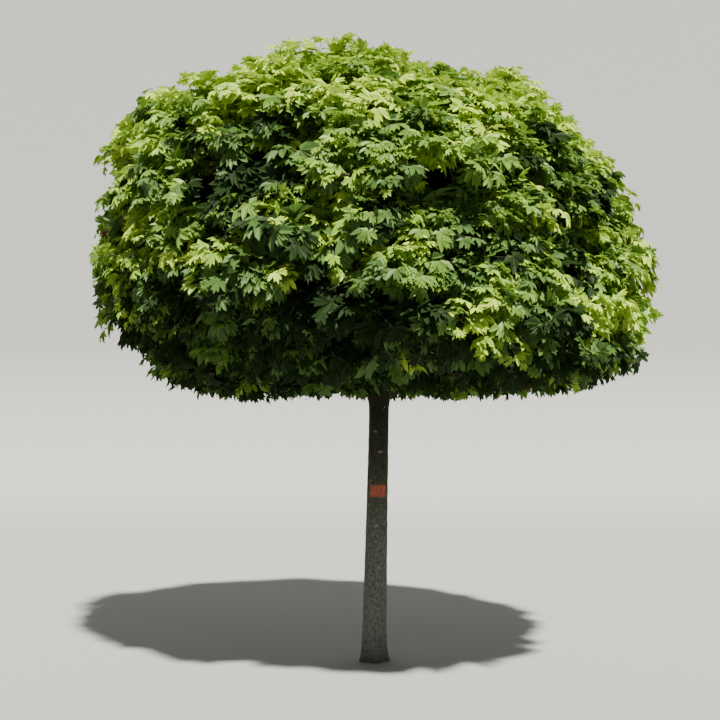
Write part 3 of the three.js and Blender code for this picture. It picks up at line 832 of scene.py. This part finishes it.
def shoots_of(mass, masses, layer, random):
    """The feet of a mass's pads in a layer and, for every shoot, its path, its pad's normal and its limit."""
    faces_at, normals = pads_of(mass, masses, layer, random)
    count, shoots = len(faces_at), layer["shoots"]
    hang = mass["outward"] * PAD_HANG_OUT - UP
    hang = unit(hang - normals * (normals @ hang)[:, None])
    side = np.cross(normals, hang)
    roll = np.radians(random.uniform(-PAD_ROLL, PAD_ROLL, count))[:, None]
    side, hang = side * np.cos(roll) + hang * np.sin(roll), hang * np.cos(roll) - side * np.sin(roll)
    limits = random.uniform(*layer["limit"], count)
    limits += swelling(crown_place(faces_at), LUMP_WAYS, LUMP_AMOUNTS, LUMP_SHARPNESS)
    limits = np.maximum(limits, LEAST_LIMIT * layer["level"]) + JUT * (random.random(count) < JUT_SHARE)
    depth = random.uniform(*layer["depth"], count) - (limits - layer["level"]) * LEVEL_REACH
    feet = faces_at - normals * depth[:, None] - hang * PAD_LIFT

    fan = np.linspace(-SHOOT_FAN, SHOOT_FAN, shoots) + random.uniform(-FAN_SHAKE, FAN_SHAKE, (count, shoots))
    turn = np.radians(fan)[..., None]
    tilt = random.uniform(-SHOOT_TILT, SHOOT_TILT, (count, shoots, 1))
    ahead = unit(normals[:, None] * np.cos(turn) + side[:, None] * np.sin(turn) + hang[:, None] * tilt
                 + UP * SHOOT_RISE)
    size = (1 - EDGE_SHORTER * (fan / SHOOT_FAN) ** 2) * random.uniform(*SHOOT_LENGTH, (count, shoots))
    size = (size * layer["length"])[..., None]
    sag = hang[:, None] * SHOOT_HANG * random.uniform(*SHOOT_SAG, (count, shoots, 1))
    starts = np.repeat(feet[:, None], shoots, axis=1)
    handles = (starts, starts + ahead * size * SHOOT_BEND, starts + ahead * size + sag)
    paths = bezier(*(spots.reshape(-1, 3) for spots in handles), SHOOT_POINTS)
    return feet, paths, np.repeat(normals, shoots, axis=0), np.repeat(limits, shoots)


def branches_to(limb, feet, random):
    """Branches from a mass's stem to the middles of groups of pads, and on to each pad's foot."""
    groups = max(1, round(len(feet) / PADS_A_GROUP))
    centres = feet[random.permutation(len(feet))[:groups]]
    for _ in range(GROUP_ROUNDS):
        nearest = np.linalg.norm(feet[:, None] - centres[None], axis=-1).argmin(1)
        members = [feet[nearest == k] for k in range(groups)]
        centres = np.array([own.mean(0) if len(own) else centre for own, centre in zip(members, centres)])
    stem = limb["mass"]["heart"] - limb["end"]
    starts = limb["end"] + stem * random.uniform(*GROUP_START, groups)[:, None]
    forks = starts + (centres - starts) * GROUP_REACH
    length = np.linalg.norm(forks - starts, axis=1)[:, None]
    group_paths = bezier(starts, starts + limb["arriving"] * length * BRANCH_BEND, forks, GROUP_POINTS)
    lean = unit(forks - starts)[nearest]
    starts = forks[nearest]
    length = np.linalg.norm(feet - starts, axis=1)[:, None]
    branch_paths = bezier(starts, starts + lean * length * BRANCH_BEND, feet, BRANCH_POINTS)
    return [tubes(group_paths, tapering(group_paths, GROUP_RADII), BRANCH_SIDES),
            tubes(branch_paths, tapering(branch_paths, BRANCH_RADII), BRANCH_SIDES)]


# A shoot's leaves from its foot on: level pairs and pairs crosswise to them by turns, then those at its end
LEAF_COUNT = 2 * NODES + END_LEAVES
LEAF_ORDER = np.arange(LEAF_COUNT)
AT_END = LEAF_ORDER >= 2 * NODES
CROSSWISE = LEAF_ORDER // 2 % 2 == 1
HANDS = np.where(LEAF_ORDER % 2 == 0, 1, -1)
LEAF_SHARES = np.concatenate([np.repeat(np.linspace(*LEAFY_PART, NODES), 2), np.ones(END_LEAVES)])
ACROSS_END = np.linspace(-END_STALK[1], END_STALK[1], LEAF_COUNT)
FORWARD = np.where(AT_END, END_STALK[0], np.where(CROSSWISE, CROSS_STALK[0], LEVEL_STALK[0]))
SIDEWAYS = np.where(AT_END, ACROSS_END, HANDS * np.where(CROSSWISE, CROSS_STALK[1], LEVEL_STALK[1]))
UPRIGHT = np.where(AT_END, END_STALK[2], np.where(CROSSWISE, HANDS * CROSS_STALK[2], LEVEL_STALK[2]))


def leaves_on(paths, normals, limits, layer, mass, masses, random):
    """The leaves along each shoot and at its end that fit in the crown, and which shoots bear any."""
    tier, count = mass["spec"]["name"], len(paths) * LEAF_COUNT
    found = leaf_places(paths, normals, tier, layer["size"], random)
    found["tint"] = leaf_tints(paths, normals, tier, LAYERS.index(layer), random)
    found["bend"] = random.uniform(*LEAF_DROOP, (len(paths), LEAF_COUNT))
    found["fold"] = random.uniform(*LEAF_FOLD, (len(paths), LEAF_COUNT))
    found = {key: value.reshape(count, *value.shape[2:]) for key, value in found.items()}
    outlines = blade_points(found)
    clear = ~in_hollow(paths, layer["hollow"][1] * SHOOT_FRAY).any(1) & (crown_level(paths[:, -1]) < limits)
    fray = random.uniform(*layer["hollow"], (count, 1))
    fits = (crown_level(outlines) < np.repeat(limits, LEAF_COUNT)[:, None]).all(1)
    fits &= ~in_hollow(outlines, fray).any(1) & np.repeat(clear, LEAF_COUNT)
    fits &= inside_borders(found["joint"], mass, masses, BORDER_OVERLAP)
    return {key: value[fits] for key, value in found.items()}, fits.reshape(-1, LEAF_COUNT).any(1)


def leaf_places(paths, normals, tier, size, random):
    """Each leaf's foot on its shoot, the joint of stalk and blade, and the blade's way, facing and span."""
    shape = (len(paths), LEAF_COUNT)
    shares = np.clip(LEAF_SHARES + random.uniform(-NODE_SHAKE, NODE_SHAKE, shape), 0, 1)
    spots = shares * (SHOOT_POINTS - 1)
    low = np.minimum(spots.astype(int), SHOOT_POINTS - 2)
    rows = np.arange(len(paths))[:, None]
    before, after = paths[rows, low], paths[rows, low + 1]
    part = (spots - low)[..., None]
    feet = before * (1 - part) + after * part
    along = unit(after - before)
    level = unit(np.cross(along, UP))
    steep = np.cross(level, along)
    shake = random.normal(0, STALK_SHAKE, (*shape, 3))
    stalk = unit(along * FORWARD[:, None] + level * SIDEWAYS[:, None] + steep * UPRIGHT[:, None]
                 + UP * STALK_LIFT + shake)
    reach = random.uniform(*STALK_LENGTH, shape) * (STALK_AT_FOOT - STALK_LESS * shares)
    span = size * random.uniform(*LEAF_SPAN, shape)
    span *= np.where(AT_END, YOUNG_SHARE, 1) * (SPAN_AT_FOOT - SPAN_LESS * shares)
    out = normals.copy()
    out[:, 2] = np.maximum(out[:, 2], 0)
    out = unit(out)[:, None]
    tip = unit(stalk * TIP_AHEAD + out * TIP_OUT - UP * random.uniform(*TIP_DOWN, (*shape, 1)))
    facing = UP * FACING_UP + out * LEAF_FACING[tier] + random.normal(0, LEAF_SHAKE, (*shape, 3))
    facing = unit(facing - tip * (facing * tip).sum(-1, keepdims=True))
    return dict(foot=feet, joint=feet + stalk * reach[..., None], tip=tip, facing=facing, span=span)


def leaf_tints(paths, normals, tier, order, random):
    """Every leaf's tint: its shoot's, by tier and layer, painted one tint lighter where the crown faces the light
    and painted in shade tints where it faces away and in the hollows, and often a fresher or bronze one at the
    end.
    """
    shoots = len(paths)
    tint = random.choice(len(TINTS), shoots, p=TINT_SHARES[order][tier])
    tint = np.where(normals @ np.array(SUNNY_WAY) > SUNNY_FROM, np.maximum(tint - 1, 0), tint)
    shaded = (normals @ np.array(SHADED_WAY) < SHADED_FROM) | in_hollow(paths[:, -1], SHADED_HOLLOW)
    tint = np.where(shaded, random.choice(len(TINTS), shoots, p=SHADED_TINTS[order]), tint)[:, None]
    fresher = AT_END & (random.random((shoots, LEAF_COUNT)) < FRESH_ENDS)
    tint = np.where(fresher, np.maximum(tint - 1, 0), tint)
    young = AT_END & (random.random((shoots, 1)) < LAYERS[order]["bronze"])
    return np.where(young, TINT_NAMES.index("bronze"), tint)


RIGHT_SIDE = [(-angle, share, lift) for angle, share, lift in reversed(BLADE_HALF)]
OUTLINE = np.array([*RIGHT_SIDE, (0, 1, TIP_LIFT), *BLADE_HALF])
BLADE_AHEAD = np.concatenate([[0], np.cos(np.radians(OUTLINE[:, 0])) * OUTLINE[:, 1]])
BLADE_ACROSS = np.concatenate([[0], np.sin(np.radians(OUTLINE[:, 0])) * OUTLINE[:, 1]])
BLADE_LIFT = np.concatenate([[0], OUTLINE[:, 2]])
BLADE_FACES = np.array([(0, k, k + 1) for k in range(1, len(OUTLINE))])
STALK_FACES = np.array([(0, 1, 3), (1, 2, 3), (2, 0, 3)])


def blade_points(leaves):
    """Every blade's points: the joint with its stalk, then round the outline."""
    side = np.cross(leaves["facing"], leaves["tip"])
    rise = BLADE_LIFT - leaves["bend"][:, None] * BLADE_AHEAD**2 - leaves["fold"][:, None] * np.abs(BLADE_ACROSS)
    local = (leaves["tip"][:, None] * BLADE_AHEAD[:, None] + side[:, None] * BLADE_ACROSS[:, None]
             + leaves["facing"][:, None] * rise[..., None])
    return leaves["joint"][:, None] + local * leaves["span"][:, None, None]


def stalk_points(leaves):
    """Every stalk's three points on its shoot, and the joint under its blade, to which it thins."""
    foot = leaves["foot"]
    along = unit(leaves["joint"] - foot)
    side = unit(np.cross(along, UP)) * STALK_RADIUS
    other = np.cross(along, side)
    return np.stack([foot + side, foot - side / 2 + other, foot - side / 2 - other, leaves["joint"]], 1)


def make_foliage(limbs, masses, tint_materials, wood, stalk):
    for tier in TIERS:
        own = [limb for limb in limbs if limb["mass"]["spec"]["name"] == tier]
        twigs, leaves = gathered([grow_mass(limb, masses) for limb in own])
        nodes = [f"foliage_{limb['mass']['name']}" for limb in own]
        slot_name = f"leaves_{tier}"
        make_piece(f"twigs_{tier}", *twigs, "bark", nodes, wood)
        make_piece(f"stalks_{tier}", *repeated(stalk_points(leaves), STALK_FACES), slot_name, nodes, stalk)
        for k, name in enumerate(TINT_NAMES):
            chosen = {key: value[leaves["tint"] == k] for key, value in leaves.items()}
            if len(chosen["tint"]):
                blades = repeated(blade_points(chosen), BLADE_FACES)
                make_piece(f"leaves_{tier}_{name}", *blades, slot_name, nodes, tint_materials[name], smooth=False)


# Camera, light and stage

def make_camera():
    camera = put("camera", bpy.data.cameras.new("camera"))
    camera.data.lens = LENS
    camera.data.clip_end = FAR_CLIP
    camera.location = EYE
    camera.rotation_euler = (math.pi / 2 + math.atan(HORIZON_BELOW_MIDDLE / FOCAL_PIXELS), 0, 0)
    bpy.context.scene.camera = camera


def make_light():
    sun = bpy.data.lights.new("key", "SUN")
    sun.energy = SUN_STRENGTH
    sun.angle = math.radians(SUN_SIZE)
    sun.color = SUN_COLOUR
    put("key", sun).rotation_euler = SUN_FROM.to_track_quat("Z", "Y").to_euler()
    world = bpy.data.worlds.new("studio")
    world.use_nodes = True
    background = world.node_tree.nodes["Background"]
    background.inputs["Color"].default_value = (*SKY_COLOUR, 1)
    background.inputs["Strength"].default_value = SKY_STRENGTH
    bpy.context.scene.world = world


def make_stage():
    """A pale floor that curves up into a pale backdrop."""
    profile = [(FLOOR_FRONT, 0.0), (FLOOR_BACK, 0.0)]
    profile += [(FLOOR_BACK + BACKDROP_BEND * math.sin(a), BACKDROP_BEND * (1 - math.cos(a)))
                for a in np.radians(np.arange(5, 91, 5))]
    profile.append((FLOOR_BACK + BACKDROP_BEND, BACKDROP_HEIGHT))
    points = [(x, y, z) for y, z in profile for x in (-FLOOR_HALF_WIDTH, FLOOR_HALF_WIDTH)]
    mesh = bpy.data.meshes.new("floor")
    mesh.from_pydata(points, [], [(k, k + 1, k + 3, k + 2) for k in range(0, 2 * len(profile) - 2, 2)])
    mesh.materials.append(plain_material("studio_floor", FLOOR_COLOUR, roughness=0.9))
    for polygon in mesh.polygons:
        polygon.use_smooth = True
    floor = put("floor", mesh)


make_camera()
make_light()
make_stage()
MASSES = masses_of()
LIMBS = grow_limbs(MASSES)
make_trunk(bark_material("trunk_bark", True))
make_boughs(LIMBS, bark_material("bough_bark", False))
make_foliage(LIMBS, MASSES, {name: leaf_material(f"leaf_{name}", *tint) for name, tint in TINTS.items()},
             twig_material(), plain_material("leaf_stalk", STALK_COLOUR, roughness=0.5))

bpy.context.view_layer.update()
